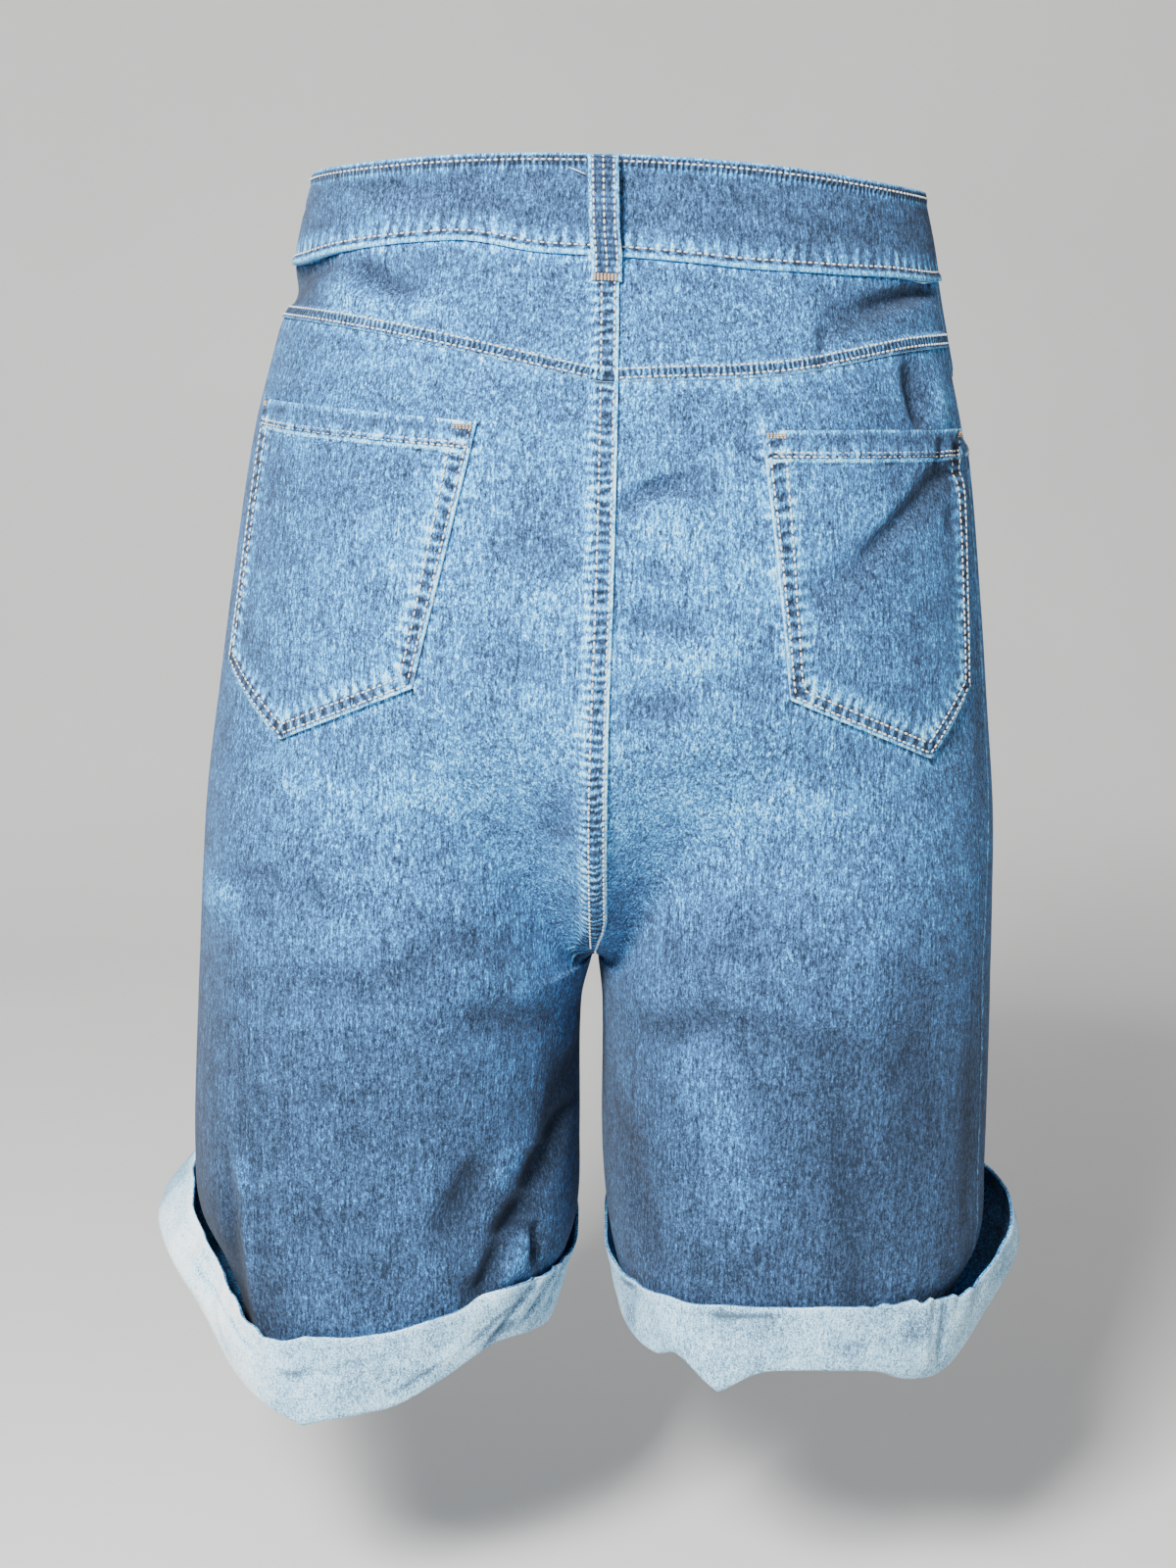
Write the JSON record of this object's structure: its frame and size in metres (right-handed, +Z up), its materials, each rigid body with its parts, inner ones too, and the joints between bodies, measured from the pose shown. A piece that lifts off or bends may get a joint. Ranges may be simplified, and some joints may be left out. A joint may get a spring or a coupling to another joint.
{
  "type": "denim shorts",
  "caption": "Knee-length denim shorts with turned-up hems, a yoke, back patch pockets, belt loops and a buttoned waistband, held hollow as if worn",
  "frame": {"origin": "the middle of the waist opening, halfway up the waistband, where the wearer's waist holds the shorts up", "axes": "+Z up, +Y to the wearer's back, -Y to the front with the fly, +X to the wearer's left"},
  "size_m": [0.4153, 0.2598, 0.5708],
  "materials": {
    "denim": "matte",
    "reverse": "matte",
    "metal": "satin"
  },
  "bodies": {
    "root": {"back_panel_left": "denim", "back_yoke_left": "denim", "back_pocket_left": "denim", "front_panel_left": "denim", "front_pocket_facing_left": "denim", "cuff_left": "reverse", "back_panel_right": "denim", "back_yoke_right": "denim", "back_pocket_right": "denim", "front_panel_right": "denim", "front_pocket_facing_right": "denim", "cuff_right": "reverse", "waistband": "denim", "belt_loop_back": "denim", "belt_loop_side_left": "denim", "belt_loop_side_right": "denim", "belt_loop_front_left": "denim", "belt_loop_front_right": "denim", "waist_button": "metal"}
  },
  "joints": []
}
